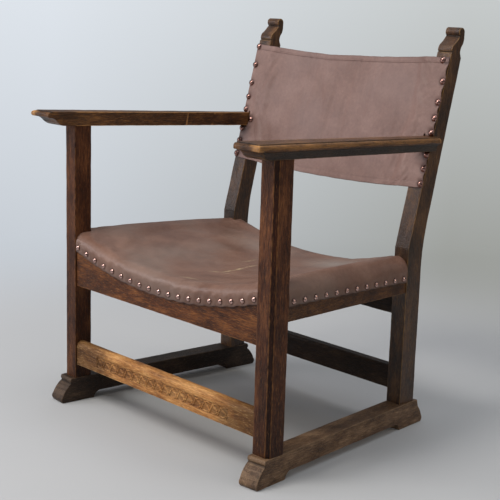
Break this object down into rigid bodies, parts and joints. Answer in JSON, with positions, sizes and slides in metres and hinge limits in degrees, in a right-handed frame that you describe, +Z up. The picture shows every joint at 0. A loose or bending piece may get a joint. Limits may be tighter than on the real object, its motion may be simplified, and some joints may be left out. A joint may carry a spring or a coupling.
{
  "type": "fireside chair",
  "caption": "Low oak open armchair on sled feet with a dished leather seat, a slung leather back, moulded arms and domed nails.",
  "frame": {"origin": "on the floor under the middle of the chair's width and depth", "axes": "+X across the chair towards its right side as seen from the front, +Y from the front of the chair to its back, +Z up"},
  "size_m": [0.6882, 0.6341, 0.83],
  "materials": {
    "oak": "aged dark stain with worn arrises, waxed",
    "leather": "worn mauve-brown hide, low sheen",
    "nail_copper": "antique copper, polished on the domes",
    "tack_steel": "blued steel",
    "webbing_jute": "woven jute",
    "base_cloth": "open hessian",
    "stuffing": "hair and felt"
  },
  "bodies": {
    "root": {"arm_left": "oak", "arm_right": "oak", "back_leather": "leather", "back_nails_left": "nail_copper", "back_nails_right": "nail_copper", "front_leg_left": "oak", "front_leg_right": "oak", "front_seat_rail": "oak", "front_stretcher": "oak", "rear_seat_rail": "oak", "rear_stile_left": "oak", "rear_stile_right": "oak", "rear_stretcher": "oak", "seat_base_cloth": "base_cloth", "seat_leather": "leather", "seat_nails_front": "nail_copper", "seat_nails_left": "nail_copper", "seat_nails_rear": "nail_copper", "seat_nails_right": "nail_copper", "seat_stuffing": "stuffing", "side_seat_rail_left": "oak", "side_seat_rail_right": "oak", "sled_foot_left": "oak", "sled_foot_right": "oak", "webbing_front_to_rear": "webbing_jute", "webbing_side_to_side": "webbing_jute", "webbing_tacks": "tack_steel"}
  },
  "joints": []
}
